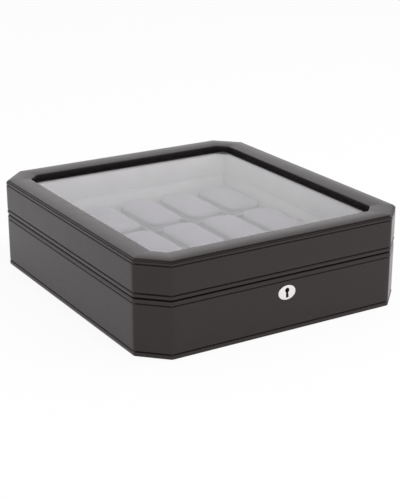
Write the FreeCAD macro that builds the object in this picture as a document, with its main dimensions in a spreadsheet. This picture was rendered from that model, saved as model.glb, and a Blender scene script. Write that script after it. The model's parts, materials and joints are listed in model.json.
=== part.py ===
# Watch box: an octagonal leather wrapped case with a hinged, glazed lid, a mortise lock and loose watch
# cushions. The origin is under the middle of the box, X runs along the front, Y to the rear and Z up.
import FreeCAD, Part
import math
import os
import re
import Sketcher

os.makedirs("parts", exist_ok=True)
doc = FreeCAD.newDocument("watch_box")
sheet = doc.addObject("Spreadsheet::Sheet", "sizes")

# Cells of the tray
COLUMN_COUNT = 5
ROW_NAMES = ("front", "middle", "rear")
ROW_COUNT = len(ROW_NAMES)

# Driving sizes in millimetres
SIZES = {
    # outside
    "width": 298,  # along the front
    "depth": 330,  # front to rear
    "corner_cut": 25.5,  # leg of each cut corner
    "base_height": 56.8,  # floor to the leather rim of the base
    "lid_height": 34.3,  # leather rim of the lid to its top edge
    "parting_gap": 0.4,  # between the two rims
    "leather": 1.2,
    "edge_round": 4.5,  # upright edges of the leather
    "crest_round": 2.8,  # top edge of the lid
    "lid_rim_round": 1.8,
    "base_rim_round": 3,
    "foot_round": 0.6,
    # boards of the base
    "felt_pad": 1.5,
    "felt_gap": 0.5,  # between the felt and the leather turned under the bottom
    "turn_under": 13,  # outer face to the edge of that leather
    "bottom_board": 5,
    "wall": 12,
    # tray
    "lining": 1.2,  # cloth on the floor
    "liner": 11.8,  # padded boards round the well
    "rim_panel": 2,
    "divider": 3,
    "divider_height": 32,
    "lap_gap": 0.2,  # half lap clearance
    # cushions
    "cushion_gap": 1.2,  # to the cell walls
    "cushion_height": 42.3,
    "cushion_corner": 10,
    "cushion_crown": 8,
    "cushion_sole": 4,
    # lid top and window
    "top_frame": 7.3,
    "glass_lip": 1.2,  # board above the glass
    "top_strip": 3,  # leather turned over the top edge
    "seam_gap": 0.5,  # groove between that strip and the bezel
    "window_margin": 25,  # outer face to the window opening
    "bezel_skin": 1.5,  # leather down the window opening
    "bezel_edge": 4.9,  # height of the bezel at the seam
    "bezel_shoulder": 2,  # rounding of its outer edge
    "bezel_peak": 9.3,  # outer face to the highest line of the bezel
    "bezel_crown": 75,  # radius of its crowned face
    "bezel_roll": 1.6,  # rounding into the window opening
    "glass": 3,
    "glass_lap": 8,  # glass hidden under the lip
    "glass_gap": 0.3,
    # lock
    "case_width": 36,
    "case_thick": 9,
    "case_height": 24,
    "case_sheet": 0.8,
    "case_gap": 0.2,  # to the mortise
    "face_length": 56,
    "face_width": 9,
    "face_screw": 23,  # middle to each screw
    "plate_gap": 0.2,  # let in plates to the leather
    "key_height": 40.3,
    "key_way_width": 6,
    "key_way_height": 12,
    "oval_width": 19.3,
    "oval_height": 14.5,
    "oval_proud": 1.6,
    "oval_round": 0.9,
    "keyhole_round": 2.3,
    "keyhole_height": 9.4,
    "keyhole_neck": 2.0,
    "keyhole_foot": 3.0,
    # staple and bolt
    "staple_place": 4,
    "staple_thick": 2,
    "staple_width": 5.6,
    "staple_drop": 9,
    "staple_sill": 1.6,
    "staple_gap": 0.6,
    "eye_width": 3.2,
    "eye_height": 4.4,
    "bolt_block": 8,
    "bolt_end_gap": 2,
    "bolt_gap": 0.15,
    "bolt_tip_gap": 0.8,
    "tongue_width": 2.2,
    "tongue_height": 3,
    # hinges
    "hinge_length": 40,
    "hinge_inset": 0.4,  # rear face to the axis
    "barrel": 2,
    "pin": 0.9,
    "pin_gap": 0.05,
    "knuckle": 13.8,  # middle knuckle
    "knuckle_gap": 0.2,
    "barrel_room": 0.6,
    # screws
    "screw_head": 2,
    "screw_sink": 1,
    "screw_shank": 1,
    "screw_length": 8,
    "screw_gap": 0.1,
    "screw_spread": 12,  # middle of a hinge to each screw
}

# Levels and places that follow from them
DERIVED = {
    "floor_top": "felt_pad + bottom_board",
    "tray_floor": "floor_top + lining",
    "wall_top": "base_height - leather",
    "panel_bottom": "base_height - rim_panel",
    "lid_bottom": "base_height + parting_gap",
    "rail_bottom": "lid_bottom + leather",
    "lid_top": "lid_bottom + lid_height",
    "frame_top": "lid_top - leather",
    "frame_bottom": "frame_top - top_frame",
    "glass_top": "frame_top - glass_lip",
    "glass_bottom": "glass_top - glass",
    "wall_inset": "leather + wall",
    "well_x": "width / 2 - wall_inset - liner",
    "well_y": "depth / 2 - wall_inset - liner",
    "cell_x": "(2 * well_x + divider) / %d - divider" % COLUMN_COUNT,
    "cell_y": "(2 * well_y + divider) / %d - divider" % ROW_COUNT,
    "rebate": "window_margin - glass_lap",
    "lock_y": "leather + wall / 2 - depth / 2",
    "hinge_place": "width / 4",
    "case_bottom": "wall_top - case_height",
    "cavity_x": "case_width / 2 - case_sheet",
    "cavity_y": "case_thick / 2 - case_sheet",
    "cavity_bottom": "case_bottom + case_sheet",
    "eye_bottom": "lid_bottom - staple_drop + staple_sill",
    "eye_middle": "eye_bottom + eye_height / 2",
    "bolt_back": "bolt_end_gap - cavity_x",
    "bolt_tip": "staple_place - staple_thick / 2 - bolt_tip_gap",
    "axis_y": "depth / 2 - hinge_inset",
    "axis_z": "base_height + parting_gap / 2",
    "barrel_front": "axis_y - barrel - knuckle_gap",
    "notch_front": "axis_y - barrel - barrel_room",
    "notch_bottom": "axis_z - barrel - barrel_room",
    "notch_top": "axis_z + barrel + barrel_room",
    "leaf_front": "depth / 2 - wall_inset + plate_gap",
    "screw_y": "(leaf_front + notch_front) / 2",
}

for row, (alias, size) in enumerate(SIZES.items(), start=1):
    sheet.set("A%d" % row, alias)
    sheet.set("B%d" % row, str(size))
    sheet.setAlias("B%d" % row, alias)
doc.recompute()

nodes = {}
TINY = 1e-4


def bound(text):
    """The expression in text, with each level traced back to cells of the sheet."""

    def trace(match):
        word = match.group()
        if word in DERIVED:
            return "(" + bound(DERIVED[word]) + ")"
        return "sizes." + word if word in SIZES else word

    return re.sub(r"[a-z_]+", trace, text)


def value(text):
    return float(sheet.evalExpression(bound(text)))


def keep(thing, label):
    """Marks an object of the document as a piece of the box."""
    thing.Label = label
    nodes[label] = thing
    return thing


def drive(drawing, constraint, text):
    """Adds a constraint whose size is the expression in text."""
    index = drawing.addConstraint(constraint)
    drawing.setExpression("Constraints[%d]" % index, bound(text))


def pin_across(drawing, edge, position, text, kind="DistanceX", zero_axis=-2):
    """Ties one coordinate of a sketch point, measured from the sketch's origin, to an expression."""
    size = value(text)
    if abs(size) < TINY:
        drawing.addConstraint(Sketcher.Constraint("PointOnObject", edge, position, zero_axis))
    elif size < 0:
        drive(drawing, Sketcher.Constraint(kind, edge, position, -1, 1, -size), "-(" + text + ")")
    else:
        drive(drawing, Sketcher.Constraint(kind, -1, 1, edge, position, size), text)


def pin_point(drawing, edge, position, place):
    pin_across(drawing, edge, position, place[0])
    pin_across(drawing, edge, position, place[1], "DistanceY", -1)


def add_outline(drawing, corners):
    """Closed polygon through corners, each a pair of expressions."""
    points = [FreeCAD.Vector(value(x), value(y), 0) for x, y in corners]
    first = drawing.GeometryCount
    count = len(points)
    for n in range(count):
        drawing.addGeometry(Part.LineSegment(points[n], points[(n + 1) % count]))
    for n in range(count):
        after = first + (n + 1) % count
        drawing.addConstraint(Sketcher.Constraint("Coincident", first + n, 2, after, 1))
    for n, place in enumerate(corners):
        pin_point(drawing, first + n, 1, place)


def add_circle(drawing, place, radius):
    centre = FreeCAD.Vector(value(place[0]), value(place[1]), 0)
    circle = drawing.addGeometry(Part.Circle(centre, FreeCAD.Vector(0, 0, 1), value(radius)))
    pin_point(drawing, circle, 3, place)
    drive(drawing, Sketcher.Constraint("Radius", circle, value(radius)), radius)


def new_sketch(body, plane, level, *outlines):
    """Sketch parallel to one of the body's own origin planes, level along that plane's normal."""
    drawing = body.newObject("Sketcher::SketchObject", body.Name + "_outline")
    origin_plane = [item for item in body.Origin.OriginFeatures if item.Role == plane][0]
    drawing.AttachmentSupport = [(origin_plane, "")]
    drawing.MapMode = "FlatFace"
    drawing.setExpression("AttachmentOffset.Base.z", bound(level))
    for outline in outlines:
        add_outline(drawing, outline)
    return drawing


def pad(body, drawing, length, reverse=False):
    feature = body.newObject("PartDesign::Pad", body.Name + "_pad")
    feature.Profile = drawing
    feature.Reversed = reverse
    feature.setExpression("Length", bound(length))
    doc.recompute()
    return feature


def cut(body, drawing, length, reverse=False):
    """Pocket against the sketch's normal, or along it in reverse."""
    before = body.Shape.Volume
    feature = body.newObject("PartDesign::Pocket", body.Name + "_pocket")
    feature.Profile = drawing
    feature.Reversed = reverse
    feature.setExpression("Length", bound(length))
    doc.recompute()
    if not body.Shape.Volume < before:
        raise ValueError("nothing cut from " + body.Label)
    return feature


def round_edges(body, radius, chosen):
    """Fillet on the body's edges for which chosen(box of the edge) holds."""
    names = ["Edge%d" % n for n, edge in enumerate(body.Shape.Edges, start=1) if chosen(edge.BoundBox)]
    base = body.Tip
    fillet = body.newObject("PartDesign::Fillet", body.Name + "_round")
    fillet.Base = (base, names)
    fillet.setExpression("Radius", bound(radius))
    doc.recompute()
    return fillet


def upright(box):
    return box.XLength < TINY and box.YLength < TINY


def at_level(level):
    height = value(level)
    return lambda box: abs(box.ZMin - height) < TINY and abs(box.ZMax - height) < TINY


def within_corners(radius):
    """The radius of a rim, kept under that of the upright edges it turns."""
    return "min(%s; 0.9 * edge_round)" % radius


def new_body(label):
    return doc.addObject("PartDesign::Body", label)


def plate(label, level, height, *outlines):
    """Board or sheet of the given plan, standing on level."""
    body = new_body(label)
    pad(body, new_sketch(body, "XY_Plane", level, *outlines), height)
    return body


def octagon(inset):
    """Plan of the box moved in by inset, anticlockwise from the left end of the front."""
    x = "(width / 2 - (%s))" % inset
    y = "(depth / 2 - (%s))" % inset
    leg = "(corner_cut - (%s) * (2 - sqrt(2)))" % inset
    run_x = "(%s - %s)" % (x, leg)
    run_y = "(%s - %s)" % (y, leg)
    return [
        ("-" + run_x, "-" + y),
        (run_x, "-" + y),
        (x, "-" + run_y),
        (x, run_y),
        (run_x, y),
        ("-" + run_x, y),
        ("-" + x, run_y),
        ("-" + x, "-" + run_y),
    ]


def rectangle(left, right, front, rear):
    return [(left, front), (right, front), (right, rear), (left, rear)]


def about(middle, half):
    """The two ends of a span of half on each side of middle."""
    return "(%s) - (%s)" % (middle, half), "(%s) + (%s)" % (middle, half)


def centred(x, half_x, y, half_y):
    return rectangle(*about(x, half_x), *about(y, half_y))


WELL = rectangle("-(well_x)", "well_x", "-(well_y)", "well_y")
SIDES = ("front", "front_right", "right", "rear_right", "rear", "rear_left", "left", "front_left")
FLAT_SIDES = SIDES[0::2]
CORNER_SIDES = SIDES[1::2]


def board_ring(name, bottom, height):
    """Eight boards mitred to each other, by side; name holds a place for the side."""
    outer = octagon("leather")
    inner = octagon("wall_inset")
    boards = {}
    for n, side in enumerate(SIDES):
        after = (n + 1) % len(SIDES)
        plan = [outer[n], outer[after], inner[after], inner[n]]
        boards[side] = plate(name % side, bottom, height, plan)
    return boards


def liner_plan(n, inset):
    """Plan of the board between the well and the box moved in by inset, on the flat side numbered n."""
    outer = octagon(inset)
    return [outer[2 * n], outer[2 * n + 1], WELL[(n + 1) % len(WELL)], WELL[n]]


def group(label, members):
    compound = doc.addObject("Part::Compound", label)
    compound.Links = members
    return keep(compound, label)


def drilled(label, blank, holes):
    """The blank with the screw holes taken out, kept as a piece."""
    piece = doc.addObject("Part::Cut", label)
    piece.Base = blank
    piece.Tool = holes
    return keep(piece, label)


def hinge_middles():
    return {"left": "-(hinge_place)", "right": "hinge_place"}


def screw_places():
    """Plan places of the countersunk screws, the same in the base and the lid."""
    places = [(side + "face_screw", "lock_y") for side in ("-", "")]
    for middle in hinge_middles().values():
        places += [(end, "screw_y") for end in about(middle, "screw_spread")]
    return places


def screw_set(label, head_level, point_up, gap):
    """Countersunk screws, or with a gap the holes for them, with their heads flush with head_level."""
    screws = []
    for n, (x, y) in enumerate(screw_places(), start=1):
        head = doc.addObject("Part::Cone", "%s_head_%d" % (label, n))
        shank = doc.addObject("Part::Cylinder", "%s_shank_%d" % (label, n))
        narrow, wide = "screw_shank + " + gap, "screw_head + " + gap
        head.setExpression("Radius1", bound(wide if point_up else narrow))
        head.setExpression("Radius2", bound(narrow if point_up else wide))
        head.setExpression("Height", bound("screw_sink"))
        shank.setExpression("Radius", bound(narrow))
        shank.setExpression("Height", bound("screw_length + " + gap))
        if point_up:
            levels = (head_level, head_level + " + screw_sink")
        else:
            levels = (head_level + " - screw_sink", head_level + " - screw_sink - screw_length - " + gap)
        for piece, level in zip((head, shank), levels):
            for axis, text in zip("xyz", (x, y, level)):
                piece.setExpression("Placement.Base." + axis, bound(text))
        screw = doc.addObject("Part::Fuse", "%s_%d" % (label, n))
        screw.Base = head
        screw.Tool = shank
        screws.append(screw)
    compound = doc.addObject("Part::Compound", label)
    compound.Links = screws
    return compound


# Fasteners and the holes for them
base_holes = screw_set("base_screw_holes", "base_height", False, "screw_gap")
lid_holes = screw_set("lid_screw_holes", "lid_bottom", True, "screw_gap")
keep(screw_set("base_screws", "base_height", False, "0"), "base_screws")
keep(screw_set("lid_screws", "lid_bottom", True, "0"), "lid_screws")


def lock_outline(half_x, half_y):
    return centred("0", half_x, "lock_y", half_y)


def key_way(body, front, length):
    """Upright slot with round ends for the key, cut rearwards from the depth given as front."""
    half = "key_way_width / 2"
    rise = "key_way_height / 2 - key_way_width / 2"
    slot = new_sketch(body, "XZ_Plane", "-(%s)" % front, centred("0", half, "key_height", rise))
    cut(body, slot, length)
    for end in about("key_height", rise):
        hole = new_sketch(body, "XZ_Plane", "-(%s)" % front)
        add_circle(hole, ("0", end), half)
        cut(body, hole, length)


def leaf_bed(middle, rear):
    return rectangle(*about(middle, "hinge_length / 2 + plate_gap"), "leaf_front - plate_gap", rear)


def barrel_bed(middle, rear):
    return rectangle(*about(middle, "hinge_length / 2 + plate_gap"), "notch_front", rear)


PAST_REAR = "depth / 2 + barrel"


def make_base():
    keep(plate("felt_base_pad", "0", "felt_pad", octagon("turn_under + felt_gap")), "felt_base_pad")
    keep(plate("base_bottom_board", "felt_pad", "bottom_board", octagon("leather")), "base_bottom_board")

    walls = board_ring("base_%s_wall_blank", "floor_top", "wall_top - floor_top")
    front = walls["front"]
    mortise = lock_outline("case_width / 2 + case_gap", "case_thick / 2 + case_gap")
    cut(front, new_sketch(front, "XY_Plane", "wall_top", mortise), "case_height + case_gap")
    key_way(front, "-depth / 2", "leather + wall / 2")
    rear = walls["rear"]
    for middle in hinge_middles().values():
        bed = new_sketch(rear, "XY_Plane", "wall_top", barrel_bed(middle, PAST_REAR))
        cut(rear, bed, "wall_top - notch_bottom")
    for side in FLAT_SIDES:
        if side in ("front", "rear"):
            drilled("base_%s_wall" % side, walls[side], base_holes)
        else:
            keep(walls[side], "base_%s_wall" % side)
    group("base_corner_walls", [walls[side] for side in CORNER_SIDES])

    wrap = plate("base_leather_wrap", "felt_pad - leather", "base_height - felt_pad + leather", octagon("0"))
    round_edges(wrap, "edge_round", upright)
    round_edges(wrap, within_corners("base_rim_round"), at_level("base_height"))
    round_edges(wrap, within_corners("foot_round"), at_level("felt_pad - leather"))
    cut(wrap, new_sketch(wrap, "XY_Plane", "base_height", octagon("wall_inset")), "base_height - felt_pad")
    cut(wrap, new_sketch(wrap, "XY_Plane", "wall_top", octagon("leather")), "wall_top - felt_pad")
    cut(wrap, new_sketch(wrap, "XY_Plane", "felt_pad", octagon("turn_under")), "leather")
    face_bed = lock_outline("face_length / 2 + plate_gap", "face_width / 2 + plate_gap")
    cut(wrap, new_sketch(wrap, "XY_Plane", "base_height", face_bed), "leather")
    for middle in hinge_middles().values():
        leaf = new_sketch(wrap, "XY_Plane", "base_height", leaf_bed(middle, "notch_front"))
        cut(wrap, leaf, "leather")
        barrel = new_sketch(wrap, "XY_Plane", "base_height", barrel_bed(middle, PAST_REAR))
        cut(wrap, barrel, "base_height - notch_bottom")
    key_way(wrap, "-depth / 2", "2 * leather")
    keep(wrap, "base_leather_wrap")


def make_tray():
    keep(plate("tray_floor_lining", "floor_top", "lining", octagon("wall_inset")), "tray_floor_lining")
    for n, side in enumerate(FLAT_SIDES):
        label = "tray_%s_liner" % side
        keep(plate(label, "tray_floor", "panel_bottom - tray_floor", liner_plan(n, "wall_inset")), label)
    keep(plate("tray_rim_panel", "panel_bottom", "rim_panel", octagon("wall_inset"), WELL), "tray_rim_panel")

    column_middles = ["%d * (cell_x + divider) - divider / 2 - well_x" % n for n in range(1, COLUMN_COUNT)]
    row_middles = ["%d * (cell_y + divider) - divider / 2 - well_y" % n for n in range(1, ROW_COUNT)]
    half_slot = "divider / 2 + lap_gap"
    slot_depth = "divider_height / 2 + lap_gap"
    for n, x in enumerate(column_middles, start=1):
        label = "column_divider_%d" % n
        board = plate(label, "tray_floor", "divider_height", centred(x, "divider / 2", "0", "well_y"))
        slots = [centred(x, "divider", y, half_slot) for y in row_middles]
        cut(board, new_sketch(board, "XY_Plane", "tray_floor + divider_height", *slots), slot_depth)
        keep(board, label)
    for name, y in zip((ROW_NAMES[0], ROW_NAMES[-1]), row_middles):
        label = "row_divider_" + name
        board = plate(label, "tray_floor", "divider_height", centred("0", "well_x", y, "divider / 2"))
        slots = [centred(x, half_slot, y, "divider") for x in column_middles]
        cut(board, new_sketch(board, "XY_Plane", "tray_floor", *slots), slot_depth, reverse=True)
        keep(board, label)


def make_cushions():
    half_x = "cell_x / 2 - cushion_gap"
    half_y = "cell_y / 2 - cushion_gap"
    for row, name in enumerate(ROW_NAMES):
        for column in range(COLUMN_COUNT):
            label = "cushion_%s_%d" % (name, column + 1)
            x = "%d * (cell_x + divider) + cell_x / 2 - well_x" % column
            y = "%d * (cell_y + divider) + cell_y / 2 - well_y" % row
            pillow = plate(label, "tray_floor", "cushion_height", centred(x, half_x, y, half_y))
            round_edges(pillow, "cushion_corner", upright)
            round_edges(pillow, "cushion_crown", at_level("tray_floor + cushion_height"))
            round_edges(pillow, "cushion_sole", at_level("tray_floor"))
            keep(pillow, label)


def make_lock():
    case = plate("lock_case", "case_bottom", "case_height", lock_outline("case_width / 2", "case_thick / 2"))
    cavity = lock_outline("cavity_x", "cavity_y")
    cut(case, new_sketch(case, "XY_Plane", "wall_top", cavity), "case_height - case_sheet")
    key_way(case, "lock_y - case_thick / 2 - case_gap", "case_gap + 2 * case_sheet")
    keep(case, "lock_case")

    face_plan = lock_outline("face_length / 2", "face_width / 2")
    face = plate("lock_faceplate_blank", "wall_top", "leather", face_plan)
    slot_x, slot_y = "staple_thick / 2 + staple_gap", "staple_width / 2 + staple_gap"
    slot = centred("staple_place", slot_x, "lock_y", slot_y)
    cut(face, new_sketch(face, "XY_Plane", "base_height", slot), "leather")
    drilled("lock_faceplate", face, base_holes)

    block_plan = rectangle("bolt_back", "bolt_back + bolt_block", *about("lock_y", "cavity_y - bolt_gap"))
    block_height = "wall_top - cavity_bottom - 2 * bolt_gap"
    bolt = plate("lock_bolt", "cavity_bottom + bolt_gap", block_height, block_plan)
    tongue = rectangle("bolt_back + bolt_block", "bolt_tip", *about("lock_y", "tongue_width / 2"))
    pad(bolt, new_sketch(bolt, "XY_Plane", "eye_middle - tongue_height / 2", tongue), "tongue_height")
    keep(bolt, "lock_bolt")

    strike = plate("strike_plate_blank", "lid_bottom", "leather", face_plan)
    staple = centred("staple_place", "staple_thick / 2", "lock_y", "staple_width / 2")
    pad(strike, new_sketch(strike, "XY_Plane", "lid_bottom", staple), "staple_drop", reverse=True)
    eye = rectangle(*about("lock_y", "eye_width / 2"), "eye_bottom", "eye_bottom + eye_height")
    cut(strike, new_sketch(strike, "YZ_Plane", "staple_place + staple_thick", eye), "2 * staple_thick")
    drilled("strike_plate", strike, lid_holes)

    oval = new_body("lock_escutcheon")
    drawing = new_sketch(oval, "XZ_Plane", "depth / 2")
    middle = FreeCAD.Vector(0, value("key_height"), 0)
    side = FreeCAD.Vector(value("oval_width / 2"), 0, 0)
    top = FreeCAD.Vector(0, value("oval_height / 2"), 0)
    rim = drawing.addGeometry(Part.Ellipse(middle + side, middle + top, middle))
    drawing.exposeInternalGeometry(rim)
    pin_point(drawing, rim, 3, ("0", "key_height"))
    drawing.addConstraint(Sketcher.Constraint("Horizontal", rim + 1))
    for axis, size in ((rim + 1, "oval_width"), (rim + 2, "oval_height")):
        drive(drawing, Sketcher.Constraint("Distance", axis, value(size)), size)
    pad(oval, drawing, "oval_proud")
    outer_face = -value("depth / 2 + oval_proud")
    round_edges(oval, "oval_round", lambda box: abs(box.YMax - outer_face) < TINY)
    head_level = "key_height + keyhole_height / 2 - keyhole_round"
    foot_level = "key_height - keyhole_height / 2"
    head = new_sketch(oval, "XZ_Plane", "depth / 2 + oval_proud")
    add_circle(head, ("0", head_level), "keyhole_round")
    cut(oval, head, "oval_proud")
    neck = [
        ("-(keyhole_foot / 2)", foot_level),
        ("keyhole_foot / 2", foot_level),
        ("keyhole_neck / 2", head_level),
        ("-(keyhole_neck / 2)", head_level),
    ]
    cut(oval, new_sketch(oval, "XZ_Plane", "depth / 2 + oval_proud", neck), "oval_proud")
    keep(oval, "lock_escutcheon")


def make_hinges():
    end_knuckle = "(hinge_length - knuckle) / 2 - knuckle_gap"
    for side, middle in hinge_middles().items():
        left_end, right_end = about(middle, "hinge_length / 2")
        spans = {
            "base": [(left_end, end_knuckle), (right_end + " - (%s)" % end_knuckle, end_knuckle)],
            "lid": [(about(middle, "knuckle / 2")[0], "knuckle")],
        }
        for half, level, holes in (("base", "wall_top", base_holes), ("lid", "lid_bottom", lid_holes)):
            label = "hinge_%s_%s_leaf" % (side, half)
            plan = rectangle(left_end, right_end, "leaf_front", "barrel_front")
            leaf = plate(label + "_blank", level, "leather", plan)
            for start, length in spans[half]:
                tab = rectangle(start, "%s + %s" % (start, length), "barrel_front", "axis_y")
                pad(leaf, new_sketch(leaf, "XY_Plane", level, tab), "leather")
                tube = new_sketch(leaf, "YZ_Plane", start)
                add_circle(tube, ("axis_y", "axis_z"), "barrel")
                pad(leaf, tube, length)
            bore = new_sketch(leaf, "YZ_Plane", right_end)
            add_circle(bore, ("axis_y", "axis_z"), "pin + pin_gap")
            cut(leaf, bore, "hinge_length")
            drilled(label, leaf, holes)
        rod = new_body("hinge_%s_pin" % side)
        section = new_sketch(rod, "YZ_Plane", left_end)
        add_circle(section, ("axis_y", "axis_z"), "pin")
        pad(rod, section, "hinge_length")
        keep(rod, "hinge_%s_pin" % side)


def make_lid():
    rails = board_ring("lid_%s_rail_blank", "rail_bottom", "frame_bottom - rail_bottom")
    rear = rails["rear"]
    for middle in hinge_middles().values():
        bed = new_sketch(rear, "XY_Plane", "rail_bottom", barrel_bed(middle, PAST_REAR))
        cut(rear, bed, "notch_top - rail_bottom", reverse=True)
    for side in FLAT_SIDES:
        if side in ("front", "rear"):
            drilled("lid_%s_rail" % side, rails[side], lid_holes)
        else:
            keep(rails[side], "lid_%s_rail" % side)
    group("lid_corner_rails", [rails[side] for side in CORNER_SIDES])

    opening = octagon("window_margin - bezel_skin")
    frame = plate("lid_top_frame", "frame_bottom", "top_frame", octagon("leather"), opening)
    rebate = new_sketch(frame, "XY_Plane", "frame_bottom", octagon("rebate"))
    cut(frame, rebate, "glass_top - frame_bottom", reverse=True)
    keep(frame, "lid_top_frame")

    wrap = plate("lid_leather_wrap", "lid_bottom", "lid_height", octagon("0"))
    round_edges(wrap, "edge_round", upright)
    round_edges(wrap, within_corners("crest_round"), at_level("lid_top"))
    round_edges(wrap, within_corners("lid_rim_round"), at_level("lid_bottom"))
    cut(wrap, new_sketch(wrap, "XY_Plane", "lid_top", octagon("wall_inset")), "lid_height")
    cut(wrap, new_sketch(wrap, "XY_Plane", "lid_top", octagon("top_strip")), "leather")
    cut(wrap, new_sketch(wrap, "XY_Plane", "frame_top", octagon("leather")), "frame_top - rail_bottom")
    strike_bed = lock_outline("face_length / 2 + plate_gap", "face_width / 2 + plate_gap")
    cut(wrap, new_sketch(wrap, "XY_Plane", "lid_bottom", strike_bed), "leather", reverse=True)
    for middle in hinge_middles().values():
        leaf = new_sketch(wrap, "XY_Plane", "lid_bottom", leaf_bed(middle, "notch_front"))
        cut(wrap, leaf, "leather", reverse=True)
        barrel = new_sketch(wrap, "XY_Plane", "lid_bottom", barrel_bed(middle, PAST_REAR))
        cut(wrap, barrel, "notch_top - lid_bottom", reverse=True)
    keep(wrap, "lid_leather_wrap")

    keep(plate("window_glass", "glass_bottom", "glass", octagon("rebate + glass_gap")), "window_glass")

    # padded boards round the inside, a block in each cut corner, and the beads that hold the glass
    outer = octagon("wall_inset")
    height = "frame_bottom - lid_bottom"
    seat = "glass_bottom - frame_bottom"
    blocks = []
    beads = []
    for n, side in enumerate(FLAT_SIDES):
        label = "lid_%s_liner" % side
        keep(plate(label, "lid_bottom", height, liner_plan(n, "wall_inset")), label)
        corner = [outer[2 * n + 1], outer[(2 * n + 2) % len(outer)], WELL[(n + 1) % len(WELL)]]
        blocks.append(plate("lid_liner_block_%d" % (n + 1), "lid_bottom", height, corner))
        bead_plan = liner_plan(n, "rebate + glass_gap")
        beads.append(plate("glazing_bead_%d" % (n + 1), "frame_bottom", seat, bead_plan))
    group("lid_corner_liners", blocks)
    group("glazing_beads", beads)


def make_bezel():
    """Crowned leather section carried round the window, rounded at the seam and rolled down to the glass."""
    bezel = new_body("padded_bezel")
    plan = octagon("window_margin")
    path = new_sketch(bezel, "XY_Plane", "frame_top", [("0", plan[0][1])] + plan[1:] + plan[:1])
    seam = "top_strip + seam_gap - depth / 2"
    window = "window_margin - depth / 2"
    peak = "bezel_peak - depth / 2"
    corners = {
        "seam_foot": (seam, "frame_top"),
        "seam_top": (seam, "frame_top + bezel_edge"),
        "window_foot": (window, "glass_top"),
        "lip_foot": ("window_margin - bezel_skin - depth / 2", "glass_top"),
        "lip_top": ("window_margin - bezel_skin - depth / 2", "frame_top"),
    }
    at = {name: FreeCAD.Vector(value(y), value(z), 0) for name, (y, z) in corners.items()}
    crown, roll = value("bezel_crown"), value("bezel_roll")
    # the roll touches the crown from inside, so their centres are crown - roll apart
    rise = (crown ** 2 - (value(peak) - at["seam_top"].x) ** 2) ** 0.5
    crown_centre = FreeCAD.Vector(value(peak), at["seam_top"].y - rise, 0)
    reach = value(window) - roll - value(peak)
    step = ((crown - roll) ** 2 - reach ** 2) ** 0.5
    roll_centre = crown_centre + FreeCAD.Vector(reach, step, 0)
    window_top = roll_centre + FreeCAD.Vector(roll, 0, 0)
    meet = math.atan2(step, reach)
    start = math.atan2(rise, at["seam_top"].x - value(peak))
    up = FreeCAD.Vector(0, 0, 1)
    section = new_sketch(bezel, "YZ_Plane", "0")
    edges = [
        Part.LineSegment(at["seam_foot"], at["seam_top"]),
        Part.ArcOfCircle(Part.Circle(crown_centre, up, crown), meet, start),
        Part.ArcOfCircle(Part.Circle(roll_centre, up, roll), 0, meet),
        Part.LineSegment(window_top, at["window_foot"]),
        Part.LineSegment(at["window_foot"], at["lip_foot"]),
        Part.LineSegment(at["lip_foot"], at["lip_top"]),
        Part.LineSegment(at["lip_top"], at["seam_foot"]),
    ]
    side, face, turn, reveal, foot, lip, bed = (section.addGeometry(edge) for edge in edges)
    pin_point(section, side, 1, corners["seam_foot"])
    pin_point(section, side, 2, corners["seam_top"])
    pin_point(section, foot, 1, corners["window_foot"])
    pin_point(section, foot, 2, corners["lip_foot"])
    pin_point(section, bed, 1, corners["lip_top"])
    for first, last in ((reveal, foot), (foot, lip), (lip, bed), (bed, side)):
        section.addConstraint(Sketcher.Constraint("Coincident", first, 2, last, 1))
    section.addConstraint(Sketcher.Constraint("Coincident", side, 2, face, 2))
    section.addConstraint(Sketcher.Constraint("Tangent", face, 1, turn, 2))
    section.addConstraint(Sketcher.Constraint("Tangent", turn, 1, reveal, 1))
    section.addConstraint(Sketcher.Constraint("Vertical", reveal))
    pin_across(section, face, 3, peak)
    drive(section, Sketcher.Constraint("Radius", face, crown), "bezel_crown")
    drive(section, Sketcher.Constraint("Radius", turn, roll), "bezel_roll")
    doc.recompute()
    ring = bezel.newObject("PartDesign::AdditivePipe", "padded_bezel_ring")
    ring.Profile = section
    ring.Spine = (path, ["Edge%d" % n for n in range(1, path.GeometryCount + 1)])
    ring.Transition = "Right corner"
    doc.recompute()
    round_edges(bezel, "bezel_shoulder", at_level("frame_top + bezel_edge"))
    keep(bezel, "padded_bezel")


make_base()
make_tray()
make_cushions()
make_lock()
make_hinges()
make_lid()
make_bezel()

doc.recompute()
for thing in doc.Objects:
    if "Invalid" in thing.State or "Error" in thing.State:
        raise ValueError("failed: " + thing.Label)
for label, thing in nodes.items():
    if thing.Shape.isNull() or not thing.Shape.isValid() or not thing.Shape.Solids:
        raise ValueError("no valid solid: " + label)
for label, thing in nodes.items():
    thing.Shape.exportStep("parts/%s.step" % label)
print(len(nodes), "pieces")
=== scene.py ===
import json
import math

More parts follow.
